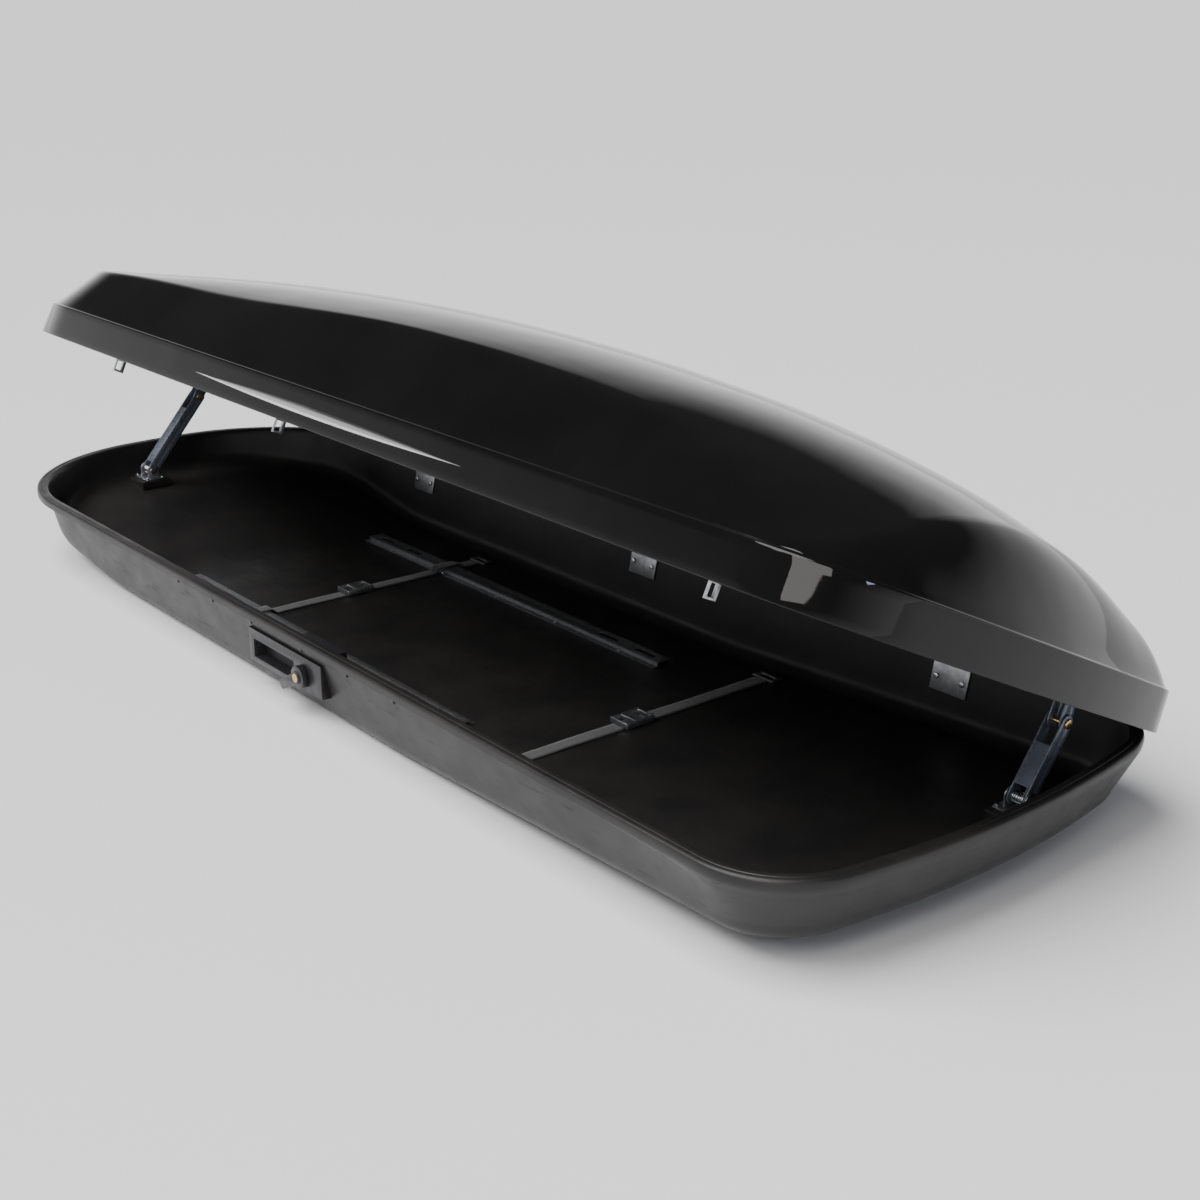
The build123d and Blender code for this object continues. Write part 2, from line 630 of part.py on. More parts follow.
# ---- lid rail and strikers along the near side
band_in = LID_WIDTH / 2 - LID_WALL - BAND_HEIGHT * tan(BAND_DRAFT) - LEAF_GAP
rail_low = TRAY_DEPTH + 18
rail_high = EDGE_Z + BAND_HEIGHT - LID_WALL - 3
rail_in = band_in - 14
rail_x = (BAR_ENDS[0] + 10, BAR_ENDS[1] + 10)
write("lid_rail", opened(block(rail_x, (-band_in, -rail_in), (rail_low, rail_high))))

bar_out = -(wall_in(BAR_Z[0]) - BAR_OFF_WALL)
bar_in = bar_out + BAR_THICK
tongue_z = (TRAY_DEPTH - 26, TRAY_DEPTH - 18)
tongue_reach = 26.0
striker_gap = 4.0
striker_sheet = 4.0
striker_clear = 3.5
screw_spread = 16.0
screw_r = 3.5


def striker(x):
    """A plate across the bar with a window that a tongue slides into."""
    inner = bar_in + 9
    low = tongue_z[0] - 7
    outer = -(wall_in(low) - striker_gap / 2)
    plate = prism_x([(-rail_in + LEAF_GAP, rail_low), (-rail_in + LEAF_GAP, rail_high), (-rail_in + 8, rail_high),
                     (inner, rail_low - 8), (inner, low), (outer, low), (outer, rail_low)],
                    x - striker_sheet, x)
    window = block((x - 2 * striker_sheet, x + striker_sheet), (bar_out - striker_clear, bar_in + striker_clear),
                   (tongue_z[0] - striker_clear, tongue_z[1] + striker_clear))
    face_y = -rail_in + LEAF_GAP
    flange = block((x - 24, x + 20), (face_y, face_y + LEAF_SHEET), (rail_low, rail_high))
    return plate - window + flange


striker_screws = []
for name, x in zip(("rear", "middle", "front"), HOOK_X):
    place = x - tongue_reach - striker_gap
    write("striker_" + name, opened(striker(place)))
    for side in (-1, 1):
        seat = -rail_in + LEAF_GAP + LEAF_SHEET + 1
        centre = (place - 2 + side * screw_spread, seat, (rail_low + rail_high) / 2)
        striker_screws.append(rod("y", centre, screw_r, 2))
write("striker_screws", opened(Compound(striker_screws)))

# ---- lock bar: a flat steel bar that slides behind the near wall
write("lock_bar", block(BAR_ENDS, (bar_out, bar_in), BAR_Z))
hooks = []
for x in HOOK_X:
    hook = block((x - 10, x + 14), (bar_out, bar_in), (BAR_Z[1], tongue_z[1]))
    hook += block((x - tongue_reach, x), (bar_out, bar_in), tongue_z)
    hooks.append(hook)
write("lock_tongues", Compound(hooks))

guide_half = 9.0
guide_skin = 4.0
guides = []
for x in GUIDE_X:
    low = BAR_Z[0] - 5
    high = BAR_Z[1] + 5
    body = prism_x([(-wall_in(low) + 0.2, low), (-wall_in(high) + 0.2, high), (bar_in + guide_skin, high),
                    (bar_in + guide_skin, low)], x - guide_half, x + guide_half)
    hole = block((x - 2 * guide_half, x + 2 * guide_half), (bar_out - SLIDE_CLEAR, bar_in + SLIDE_CLEAR),
                 (BAR_Z[0] - SLIDE_CLEAR, BAR_Z[1] + SLIDE_CLEAR))
    guides.append(body - hole)
write("bar_guides", Compound(guides))

# ---- lock housing let into the near wall
front_y = -(wall_out(HOUSING_Z[1]) + HOUSING_PROUD)
tub_back = front_y + TUB_DEPTH
low_z, high_z = HOUSING_Z
housing = prism_x([(front_y, low_z), (front_y, high_z), (-wall_out(high_z) - 0.2, high_z),
                   (-wall_out(low_z) - 0.2, low_z)], *HOUSING_X)
housing += block((HOUSING_X[0] + TUB_EDGE, HOUSING_X[1] - TUB_EDGE), (front_y + 2, tub_back), TUB_Z)
recess_x = (HOUSING_X[0] + TUB_EDGE + 4, HANDLE_X - 26)
housing -= block(recess_x, (front_y - 5, tub_back - 3), (TUB_Z[0] + 4, TUB_Z[1] - 3))
housing -= rod("y", (HANDLE_X, (front_y + tub_back) / 2, HANDLE_Z), HANDLE_SHAFT_R + RUN_CLEAR, 80)
write("lock_housing", housing)

# ---- turn handle with its shaft, and the lock cylinder in it
knob_r = 17.0
knob_back = front_y - 1.2
knob_front = knob_back - 9
knob = rod("y", (HANDLE_X, (knob_back + knob_front) / 2, HANDLE_Z), knob_r, knob_back - knob_front)
lever_x = (HANDLE_X - HANDLE_ARM, HANDLE_X)
lever_z = (HANDLE_Z - HANDLE_ARM_HALF, HANDLE_Z + HANDLE_ARM_HALF)
lever = block(lever_x, (knob_front - 3, knob_back), lever_z)
lever = fillet(lever.edges().filter_by(Axis.Y), 5)
at_shaft = Pos(HANDLE_X, 0, HANDLE_Z)
lever = at_shaft * Rot(0, -HANDLE_DROOP, 0) * at_shaft.inverse() * lever
handle = knob + lever
shaft_end = tub_back + 0.5
handle += rod("y", (HANDLE_X, (knob_back + shaft_end) / 2, HANDLE_Z), HANDLE_SHAFT_R, shaft_end - knob_back)
cylinder_depth = 20.0
cylinder_front = knob_front - 3.6
cylinder_back = cylinder_front + cylinder_depth
seat = rod("y", (HANDLE_X, knob_front - 1.5, HANDLE_Z), CYLINDER_R + 3, 3)
handle += seat
handle -= rod("y", (HANDLE_X, cylinder_back - 24.9, HANDLE_Z), CYLINDER_R + RUN_CLEAR, 50)
write("turn_handle", handle)
cylinder = rod("y", (HANDLE_X, (cylinder_front + cylinder_back) / 2, HANDLE_Z), CYLINDER_R, cylinder_depth)
cylinder -= block((HANDLE_X - 0.9, HANDLE_X + 0.9), (cylinder_front - 1, cylinder_front + 9),
                  (HANDLE_Z - 4, HANDLE_Z + 4))
write("lock_cylinder", cylinder)

# ---- crank on the shaft; its peg drives the lock bar through a slotted plate
half_turn = math.radians(HANDLE_TURN / 2)
peg_x = HANDLE_X + CRANK_R * math.sin(half_turn)
peg_z = HANDLE_Z + CRANK_R * math.cos(half_turn)
crank_front = shaft_end + 4
crank = rod("y", (HANDLE_X, shaft_end + 2, HANDLE_Z), CRANK_R + 4, 4)
crank += rod("y", (peg_x, crank_front + 4, peg_z), PEG_R, 8)
write("crank_disc", crank)
plate_y = (crank_front + 1.5, crank_front + 4.5)
driver = block((peg_x - 10, peg_x + 10), plate_y, (peg_z - 9, BAR_Z[1] + 3))
driver += block((peg_x - 10, peg_x + 10), (bar_out, plate_y[1]), (BAR_Z[1], BAR_Z[1] + 3))
slot_half = PEG_R + PEG_CLEAR
driver -= block((peg_x - slot_half, peg_x + slot_half), (plate_y[0] - 1, plate_y[1] + 1),
                (peg_z - slot_half, HANDLE_Z + CRANK_R + slot_half))
write("bar_driver", driver)

# ---- cover over the crank, inside the near wall
cover_x = (HANDLE_X - 48, HANDLE_X + 56)
cover_z = (HOUSING_Z[0] - 2, BAR_Z[1] + 10)
cover_in = plate_y[1] + 9
skin = 2.5


def cover_block(inset, open_side):
    low = cover_z[0] + inset
    high = cover_z[1] - inset
    return prism_x([(-wall_in(low) + 0.2 - open_side, low), (-wall_in(high) + 0.2 - open_side, high),
                    (cover_in - inset, high), (cover_in - inset, low)], cover_x[0] + inset, cover_x[1] - inset)


cover = cover_block(0, 0) - cover_block(skin, 10)
cover -= block((cover_x[0] - 5, cover_x[1] + 5), (bar_out - 2, bar_in + 2), (BAR_Z[0] - 2, BAR_Z[1] + 2))
tub_slot_x = (cover_x[0] - 5, cover_x[1] + 5)
cover -= block(tub_slot_x, (-LID_WIDTH / 2, tub_back + 1), (TUB_Z[0] - 1, TUB_Z[1] + 1))
write("lock_cover", cover)

# ---- bright trim strip on the near band of the lid
trim_z = EDGE_Z + TRIM_UP
trim_mid = (TRIM_X[0] + TRIM_X[1]) / 2
back = -LID_WIDTH / 2 + (TRIM_UP - TRIM_HALF) * tan(BAND_DRAFT) - 0.1
front = back - TRIM_PROUD
tail_tip = (TRIM_X[0], front, trim_z)
nose_tip = (TRIM_X[1], front, trim_z)
upper_line = ThreePointArc(tail_tip, (trim_mid, front, trim_z + TRIM_HALF), nose_tip)
lower_line = ThreePointArc(nose_tip, (trim_mid, front, trim_z - TRIM_HALF), tail_tip)
write("trim_strip", opened(extrude(make_face([upper_line, lower_line]), TRIM_PROUD, dir=(0, 1, 0))))

# ---- clips under the lip on the near wall, and the round plugs in the nose
clips = []
clip_z = (EDGE_Z - 20, EDGE_Z - 1)
clip_back = [(-wall_out(z) - 0.1, z) for z in clip_z]
clip_face = [(-wall_out(z) - 2, z) for z in reversed(clip_z)]
for x in CLIP_X:
    clips.append(prism_x(clip_back + clip_face, x - 4, x + 4))
write("rim_clips", Compound(clips))

plug_z = TRAY_DEPTH - 25
nose_corner = min(NOSE_CORNER, LID_WIDTH / 2 - CORNER_FLAT)
corner_x, _, _ = end_arcs(LID_LENGTH / 2, NOSE_BOW, nose_corner, LID_WIDTH / 2, 1)
plug_radius = nose_corner - BODY_INSET - (TRAY_DEPTH - plug_z) * tan(TRAY_DRAFT)
plug_turn = 20.5
plugs = []
for side in (-1, 1):
    across = side * (LID_WIDTH / 2 - nose_corner)
    seat_place = Pos(corner_x, across, plug_z) * Rot(0, 0, side * plug_turn)
    plugs.append(seat_place * Pos(plug_radius + 1.1, 0, 0) * Rot(0, 90 + TRAY_DRAFT, 0) * Cylinder(7, 2))
write("nose_plugs", Compound(plugs))


# ---- load straps lying over the floor, held by anchors, with cam buckles
anchors = []
for name, x in zip(("rear", "front"), STRAP_X):
    floor = floor_at(x) if x < NOSE_START else floor_at(x + STRAP_HALF)
    low = floor + 0.5
    rail_edge = RAIL_WIDTH / 2 + 6
    rail_lift = RAIL_HEIGHT if x < BAR_X[1] + STUD_PITCH else 0
    line = [(-STRAP_REACH, low)]
    for side in (-1, 1):
        row = side * SLOT_ROW
        line += [(row - rail_edge, low), (row - rail_edge + 8, low + rail_lift),
                 (row + rail_edge - 8, low + rail_lift), (row + rail_edge, low)]
    line += [(STRAP_REACH, low)]
    if not rail_lift:
        line = [(-STRAP_REACH, low), (STRAP_REACH, low)]
    over = [(y, z + STRAP_THICK) for y, z in reversed(line)]
    write("load_strap_" + name, prism_x(line + over, x - STRAP_HALF, x + STRAP_HALF))
    buckle_z = low + STRAP_THICK + 0.2
    half_x, half_y = BUCKLE_HALF
    buckle = block((x - half_x, x + half_x), (-half_y, half_y), (buckle_z, buckle_z + BUCKLE_HIGH))
    for side in (-1, 1):
        window_y = sorted((side * BUCKLE_WINDOW[0], side * BUCKLE_WINDOW[1]))
        buckle -= block((x - WINDOW_HALF, x + WINDOW_HALF), window_y, (buckle_z - 1, buckle_z + 2 * BUCKLE_HIGH))
    write("cam_buckle_" + name, buckle)
    for side in (-1, 1):
        half_x, half_y = ANCHOR_HALF
        y = side * (STRAP_REACH + ANCHOR_OUT)
        base = floor_at(x + half_x) if x > NOSE_START else floor
        anchor = block((x - half_x, x + half_x), (y - half_y, y + half_y), (base + 0.2, base + ANCHOR_HIGH))
        anchor -= block((x - WINDOW_HALF, x + WINDOW_HALF), (y - ANCHOR_SLOT, y + ANCHOR_SLOT),
                        (base - 2, base + 2 * ANCHOR_HIGH))
        anchors.append(anchor)
write("strap_anchors", Compound(anchors))
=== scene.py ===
import json
import math

import bmesh
import bpy
from mathutils import Matrix, Vector

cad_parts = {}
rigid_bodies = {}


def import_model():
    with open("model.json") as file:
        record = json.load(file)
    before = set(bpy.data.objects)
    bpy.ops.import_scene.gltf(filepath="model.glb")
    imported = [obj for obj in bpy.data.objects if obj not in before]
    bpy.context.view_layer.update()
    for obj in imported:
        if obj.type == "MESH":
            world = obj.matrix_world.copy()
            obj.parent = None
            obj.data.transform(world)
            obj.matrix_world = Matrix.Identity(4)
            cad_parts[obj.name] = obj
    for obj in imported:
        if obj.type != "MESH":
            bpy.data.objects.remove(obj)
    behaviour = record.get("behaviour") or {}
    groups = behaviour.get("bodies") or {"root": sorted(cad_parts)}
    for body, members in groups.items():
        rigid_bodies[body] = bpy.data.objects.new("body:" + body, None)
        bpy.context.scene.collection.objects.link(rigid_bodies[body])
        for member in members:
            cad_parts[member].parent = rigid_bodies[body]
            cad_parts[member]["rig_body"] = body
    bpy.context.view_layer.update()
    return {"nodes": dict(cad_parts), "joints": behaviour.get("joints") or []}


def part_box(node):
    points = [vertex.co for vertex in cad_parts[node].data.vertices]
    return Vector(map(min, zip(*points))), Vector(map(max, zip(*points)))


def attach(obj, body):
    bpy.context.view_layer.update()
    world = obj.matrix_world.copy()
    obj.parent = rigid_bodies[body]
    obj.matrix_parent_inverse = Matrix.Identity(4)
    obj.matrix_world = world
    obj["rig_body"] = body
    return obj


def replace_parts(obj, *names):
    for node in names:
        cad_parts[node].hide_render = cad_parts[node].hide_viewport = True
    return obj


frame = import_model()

# ---- Floor, lights and camera
# A plain pale floor that the box stands on, soft studio lights, and a camera
# that looks down the box from its nose corner on the lock side.
FLOOR_SIZE = 400
FLOOR_DROP = 0.001
bpy.ops.mesh.primitive_plane_add(size=FLOOR_SIZE, location=(0, 0, -FLOOR_DROP))
floor = bpy.context.object
floor.name = "floor"
floor_paint = bpy.data.materials.new("floor_paint")
floor_paint.use_nodes = True
floor_shader = floor_paint.node_tree.nodes["Principled BSDF"]
floor_shader.inputs["Base Color"].default_value = (0.82, 0.82, 0.83, 1)
floor_shader.inputs["Roughness"].default_value = 0.85
floor.data.materials.append(floor_paint)

# the studio walls: pale at the floor, dark overhead
world = bpy.data.worlds.new("studio")
world.use_nodes = True
sky = world.node_tree
sky_direction = sky.nodes.new("ShaderNodeTexCoord")
sky_height = sky.nodes.new("ShaderNodeSeparateXYZ")
fade = sky.nodes.new("ShaderNodeValToRGB")
sky.links.new(sky_direction.outputs["Generated"], sky_height.inputs["Vector"])
sky.links.new(sky_height.outputs["Z"], fade.inputs["Fac"])
sky.links.new(fade.outputs["Color"], sky.nodes["Background"].inputs["Color"])
sky_low, sky_high = fade.color_ramp.elements
sky_low.color = (1.7, 1.7, 1.72, 1)
sky_low.position = 0.03
sky_high.color = (0.075, 0.075, 0.08, 1)
sky_high.position = 0.4
sky.nodes["Background"].inputs["Strength"].default_value = 1.0
bpy.context.scene.world = world


def soft_light(name, place, target, width, height, watts, colour):
    lamp = bpy.data.lights.new(name, "AREA")
    lamp.shape = "RECTANGLE"
    lamp.size = width
    lamp.size_y = height
    lamp.energy = watts
    lamp.color = colour
    holder = bpy.data.objects.new(name, lamp)
    bpy.context.scene.collection.objects.link(holder)
    holder.location = place
    holder.rotation_euler = (Vector(target) - Vector(place)).to_track_quat("-Z", "Y").to_euler()


# one even light over the whole floor, from high behind the camera's left
day = bpy.data.lights.new("day", "SUN")
day.energy = 4.6
day.angle = math.radians(50)
day_holder = bpy.data.objects.new("day", day)
bpy.context.scene.collection.objects.link(day_holder)
day_holder.rotation_euler = Vector((0.25, 0.45, -1.0)).to_track_quat("-Z", "Y").to_euler()
soft_light("key", (3.2, -5.6, 5.2), (0, 0, 0.1), 4.5, 3.0, 260, (1.0, 0.98, 0.95))
soft_light("nose_window", (3.6, -0.75, 1.6), (1.0, -0.2, 0.3), 0.4, 0.25, 6, (0.66, 0.78, 1.0))

CAMERA_PLACE = Vector((2.14217, -1.44952, 1.00141))
CAMERA_TURN = math.radians(51.08)
CAMERA_RISE = math.radians(19.68)
CAMERA_ROLL = -0.0022
camera_data = bpy.data.cameras.new("camera")
camera_data.lens = 51.65
camera_data.sensor_width = 36.0
camera = bpy.data.objects.new("camera", camera_data)
bpy.context.scene.collection.objects.link(camera)
level_back = math.cos(CAMERA_RISE)
back = Vector((math.sin(CAMERA_TURN) * level_back, -math.cos(CAMERA_TURN) * level_back, math.sin(CAMERA_RISE)))
facing = (-back).to_track_quat("-Z", "Y").to_matrix().to_4x4()
camera.matrix_world = Matrix.Translation(CAMERA_PLACE) @ facing @ Matrix.Rotation(CAMERA_ROLL, 4, "Z")
bpy.context.scene.camera = camera

# ---- Tray shell
# The bottom half: one vacuum-formed ABS sheet with a fine grain, a rolled lip
# all round, a bilge curve, and slotted holes for the roof bar fastenings.
LID_LENGTH = 2.22
LID_WIDTH = 0.74
REAR_BOW = 1.23
REAR_CORNER = 0.33
NOSE_BOW = 1.36
NOSE_CORNER = 0.15
RIM_Z = 0.13
WALL = 0.004
DRAFT_ANGLE = math.radians(12)
DRAFT = math.tan(DRAFT_ANGLE)
BODY_IN = 0.030
INNER_IN = BODY_IN + WALL / math.cos(DRAFT_ANGLE)
BILGE = 0.030
BILGE_GUESS = 0.04
TAIL_START = -0.62
TAIL_SLOPE = 0.142
NOSE_START = 0.29
NOSE_SLOPE = 0.045
KEEL_EASE = 0.035
FLOOR_GATHER = 0.86
FLARE_START = 0.72
FLARE_RUN = 0.26
MERGE = 2e-6


def arc(mesh, start, centre, angle, steps, out):
    """Spin a point into an arc and note which way is outward at each new point."""
    before = set(mesh.verts)
    spun = bmesh.ops.spin(mesh, geom=[start], cent=centre, axis=(0, 0, 1), angle=angle, steps=steps)
    for vert in set(mesh.verts) - before:
        vert[out] = (vert.co - Vector(centre)).normalized()
    return [item for item in spun["geom_last"] if isinstance(item, bmesh.types.BMVert)][0]


def outline():
    """The plan outline as a ring of edges: an end bow and a corner arc at each end, and straight sides."""
    mesh = bmesh.new()
    base = mesh.verts.layers.float_vector.new("base")
    out = mesh.verts.layers.float_vector.new("out")
    half = LID_WIDTH / 2
    tail_tip = -LID_LENGTH / 2
    tail_swing = math.asin((half - REAR_CORNER) / (REAR_BOW - REAR_CORNER))
    nose_swing = math.asin((half - NOSE_CORNER) / (NOSE_BOW - NOSE_CORNER))
    tail_x = tail_tip + REAR_BOW - (REAR_BOW - REAR_CORNER) * math.cos(tail_swing)
    nose_x = -tail_tip - NOSE_BOW + (NOSE_BOW - NOSE_CORNER) * math.cos(nose_swing)
    quarter = math.pi / 2
    point = mesh.verts.new((tail_tip, 0, 0))
    point[out] = (-1, 0, 0)
    point = arc(mesh, point, (tail_tip + REAR_BOW, 0, 0), tail_swing, 6, out)
    point = arc(mesh, point, (tail_x, REAR_CORNER - half, 0), quarter - tail_swing, 34, out)
    steps = 46
    for _ in range(steps):
        point = bmesh.ops.extrude_vert_indiv(mesh, verts=[point])["verts"][0]
        point.co.x += (nose_x - tail_x) / steps
        point[out] = (0, -1, 0)
    point = arc(mesh, point, (nose_x, NOSE_CORNER - half, 0), quarter - nose_swing, 30, out)
    arc(mesh, point, (-tail_tip - NOSE_BOW, 0, 0), nose_swing, 18, out)
    bmesh.ops.mirror(mesh, geom=mesh.verts[:] + mesh.edges[:], matrix=Matrix.Identity(4), merge_dist=1e-6,
                     axis="Y")
    for vert in mesh.verts:
        vert[base] = vert.co
        if vert.co.y > 1e-6:
            vert[out] = (vert[out].x, -vert[out].y, 0)
        if abs(vert.co.y) <= 1e-6:
            vert[out] = (math.copysign(1, vert.co.x), 0, 0)
    return mesh


def next_ring(mesh, edges, place):
    """Extrude a ring of edges and put each new point by its own outline point and outward direction."""
    base = mesh.verts.layers.float_vector["base"]
    out = mesh.verts.layers.float_vector["out"]
    grown = bmesh.ops.extrude_edge_only(mesh, edges=edges)["geom"]
    fresh = set(item for item in grown if isinstance(item, bmesh.types.BMVert))
    for vert in fresh:
        vert.co = place(vert[base], vert[out])
    return [edge for edge in grown if isinstance(edge, bmesh.types.BMEdge) and set(edge.verts) <= fresh]


def inward(base, out, inset, height):
    """A point at a height, moved in from the outline."""
    return Vector((base.x - out.x * inset, base.y - out.y * inset, height))


def floor_height(x):
    """Height of the tray's inner floor: flat in the middle, rising to the tail and, less, to the nose."""
    tail = (TAIL_START - x) * TAIL_SLOPE
    nose = (x - NOSE_START) * NOSE_SLOPE
    rise = 0
    for slope, steep in ((tail, TAIL_SLOPE), (nose, NOSE_SLOPE)):
        ease = KEEL_EASE * steep
        if slope > -ease:
            rise = slope if slope > ease else (slope + ease) ** 2 / (4 * ease)
    return WALL + rise


def bilge_place(wall_in, radius, drop, angle):
    """A point on the curve that joins wall and floor, at an angle down from level."""
    def place(base, out):
        guess = base.x - out.x * (wall_in + BILGE_GUESS)
        centre_z = floor_height(guess) - drop + radius
        contact = centre_z - radius * math.sin(DRAFT_ANGLE)
        inset = wall_in + (RIM_Z - contact) * DRAFT + radius * (math.cos(DRAFT_ANGLE) - math.cos(angle))
        x = base.x - out.x * inset
        return inward(base, out, inset, floor_height(x) - drop + radius * (1 - math.sin(angle)))
    return place


def floor_place(edge_place, share, drop):
    """A point on the way from the bilge to the middle line of the floor."""
    def place(base, out):
        edge = edge_place(base, out)
        point = edge.lerp(Vector((edge.x * FLOOR_GATHER, 0, 0)), share)
        point.z = floor_height(point.x) - drop
        return point
    return place


def level(inset, height):
    """The same inset and height all the way round."""
    return lambda base, out: inward(base, out, inset, height)


def flared(side_point, nose_point):
    """A point of the lip: one (inset, height) in millimetres along the sides, turning into another at the nose."""
    def place(base, out):
        share = min(1, max(0, (base.x - FLARE_START) / FLARE_RUN))
        share = share * share * (3 - 2 * share)
        inset, height = [a + (b - a) * share for a, b in zip(side_point, nose_point)]
        return inward(base, out, inset / 1000, height / 1000)
    return place


def tray_side(mesh, edges, top_place, wall_in, radius, drop):
    """Wall, bilge curve and floor, from the foot of the lip to the middle line of the tray."""
    foot_place = bilge_place(wall_in, radius, drop, DRAFT_ANGLE)
    for step in range(1, 9):
        edges = next_ring(mesh, edges,
                          lambda base, out: top_place(base, out).lerp(foot_place(base, out), step / 8))
    for step in range(1, 8):
        angle = math.radians(12 + 78 * step / 7)
        edges = next_ring(mesh, edges, bilge_place(wall_in, radius, drop, angle))
    edge_place = bilge_place(wall_in, radius, drop, math.radians(90))
    for step in range(1, 9):
        edges = next_ring(mesh, edges, floor_place(edge_place, step / 8, drop))


def smooth_piece(mesh, name, body, materials, sharp=40):
    """Turn a finished bmesh into a piece that rides on a body."""
    data = bpy.data.meshes.new(name)
    mesh.to_mesh(data)
    mesh.free()
    for polygon in data.polygons:
        polygon.use_smooth = True
    data.set_sharp_from_angle(angle=math.radians(sharp))
    for material in materials:
        data.materials.append(material)
    piece = bpy.data.objects.new(name, data)
    bpy.context.scene.collection.objects.link(piece)
    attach(piece, body)
    return piece


def block(mesh, low, high):
    """A plain block between two corners, as geometry to bevel, cut with or build on."""
    centre = (Vector(low) + Vector(high)) / 2
    size = Matrix.Diagonal(Vector(high) - Vector(low)).to_4x4()
    return bmesh.ops.create_cube(mesh, size=1, matrix=Matrix.Translation(centre) @ size)["verts"]


def texture(tree, kind, scale, stretch=(1, 1, 1)):
    """A procedural texture on Object coordinates."""
    place = tree.nodes.new("ShaderNodeTexCoord")
    mapping = tree.nodes.new("ShaderNodeMapping")
    mapping.inputs["Scale"].default_value = stretch
    node = tree.nodes.new(kind)
    node.inputs["Scale"].default_value = scale
    tree.links.new(place.outputs["Object"], mapping.inputs["Vector"])
    tree.links.new(mapping.outputs["Vector"], node.inputs["Vector"])
    return node


def spread(tree, source, start, end, low, high):
    """Stretch the part of a signal between start and end over low to high."""
    node = tree.nodes.new("ShaderNodeMapRange")
    values = (start, end, low, high)
    for name, value in zip(("From Min", "From Max", "To Min", "To Max"), values):
        node.inputs[name].default_value = value
    tree.links.new(source, node.inputs["Value"])
    return node.outputs["Result"]


def mixed(tree, factor, first, second):
    """Two colours mixed by a signal."""
    node = tree.nodes.new("ShaderNodeMix")
    node.data_type = "RGBA"
    node.inputs[6].default_value = (*first, 1)
    node.inputs[7].default_value = (*second, 1)
    tree.links.new(factor, node.inputs[0])
    return node.outputs[2]


def raised(tree, height, distance, under=None):
    """A bump from a height signal, on top of another bump."""
    node = tree.nodes.new("ShaderNodeBump")
    node.inputs["Strength"].default_value = 1.0
    node.inputs["Distance"].default_value = distance
    tree.links.new(height, node.inputs["Height"])
    if under:
        tree.links.new(under, node.inputs["Normal"])
    return node.outputs["Normal"]


def finish(name, dark, light, rough, metallic=0.0, ior=1.5, patch=14, grain=900, relief=0.00008, wave=0.0,
           stretch=(1, 1, 1), scuff=0.0):
    """A moulded, painted or plated surface: patchy colour and gloss, fine grain, slow waves, light scuffs."""
    material = bpy.data.materials.new(name)
    material.use_nodes = True
    tree = material.node_tree
    shader = tree.nodes["Principled BSDF"]
    shader.inputs["Metallic"].default_value = metallic
    shader.inputs["IOR"].default_value = ior
    cloud = texture(tree, "ShaderNodeTexNoise", patch, stretch)
    cloud.inputs["Detail"].default_value = 6
    cloud_share = spread(tree, cloud.outputs["Fac"], 0.3, 0.7, 0, 1)
    colour = mixed(tree, cloud_share, dark, light)
    tree.links.new(colour, shader.inputs["Base Color"])
    fine = texture(tree, "ShaderNodeTexNoise", grain, stretch)
    fine.inputs["Detail"].default_value = 3
    normal = raised(tree, fine.outputs["Fac"], relief)
    if wave:
        swell = texture(tree, "ShaderNodeTexNoise", 7, (1, 1.6, 1.6))
        swell.inputs["Detail"].default_value = 1
        normal = raised(tree, swell.outputs["Fac"], wave, normal)
    tree.links.new(normal, shader.inputs["Normal"])
    gloss = texture(tree, "ShaderNodeTexNoise", patch * 2.3, stretch)
    gloss.inputs["Detail"].default_value = 8
    roughness = spread(tree, gloss.outputs["Fac"], 0.3, 0.7, *rough)
    if scuff:
        rub = texture(tree, "ShaderNodeTexNoise", 60, (0.35, 3, 3))
        rub.inputs["Detail"].default_value = 12
        worn = spread(tree, rub.outputs["Fac"], 0.62, 0.74, 0, scuff)
        total = tree.nodes.new("ShaderNodeMath")
        total.operation = "ADD"
        total.use_clamp = True
        tree.links.new(roughness, total.inputs[0])
        tree.links.new(worn, total.inputs[1])
        roughness = total.outputs[0]
    tree.links.new(roughness, shader.inputs["Roughness"])
    return material


grained_abs = finish("grained_abs", (0.012, 0.0115, 0.0115), (0.022, 0.02, 0.019), (0.3, 0.42), ior=1.36,
                     patch=9, grain=1300, relief=0.00012, wave=0.0012, scuff=0.18)

# the lip as (inset, height) in millimetres, each pair once along the sides and once round the nose:
# up its outside from the lower edge, down behind that edge to the wall, and in over the bead on top
LIP_EDGE = ((15, 118), (17.6, 114))
LIP_UP = [((15, 118.6), (16.6, 116.2)), ((15, 122), (15.7, 119.6)), ((15, 126), (15.2, 123.2)),
          ((15.3, 127.5), (15.7, 126)), ((16.2, 128.8), (17, 128.2)), ((17.5, 129.7), (19, 129.5)),
          ((19, 130), (21.6, 130))]
LIP_DOWN = [((15.6, 117.4), (18.6, 112)), ((17.5, 117.2), (19.9, 109.6)), ((19.4, 117.6), (21.2, 107)),
            ((20, 119), (22.4, 104.5)), ((20, 124.2), (23.6, 102)), ((20.8, 125), (24.8, 99.5)),
            ((30.5, 125), (26.1, 97))]
LIP_ROOT = ((31.1, 124.5), (27.2, 94.5))
BEAD = [(22.5, 130), (23.3, 129.1), (24.4, 129.1), (25.2, 130), (29, 130), (31.6, 129.8), (33.6, 129),
        (34.6, 127.4)]
BEAD_ROOT = (0.0351, 0.1255)
tray = outline()
tray_out = tray.verts.layers.float_vector["out"]
for vert in tray.verts:
    vert.co = flared(*LIP_EDGE)(vert.co, vert[tray_out])
skirt = tray.edges[:]
edges = skirt
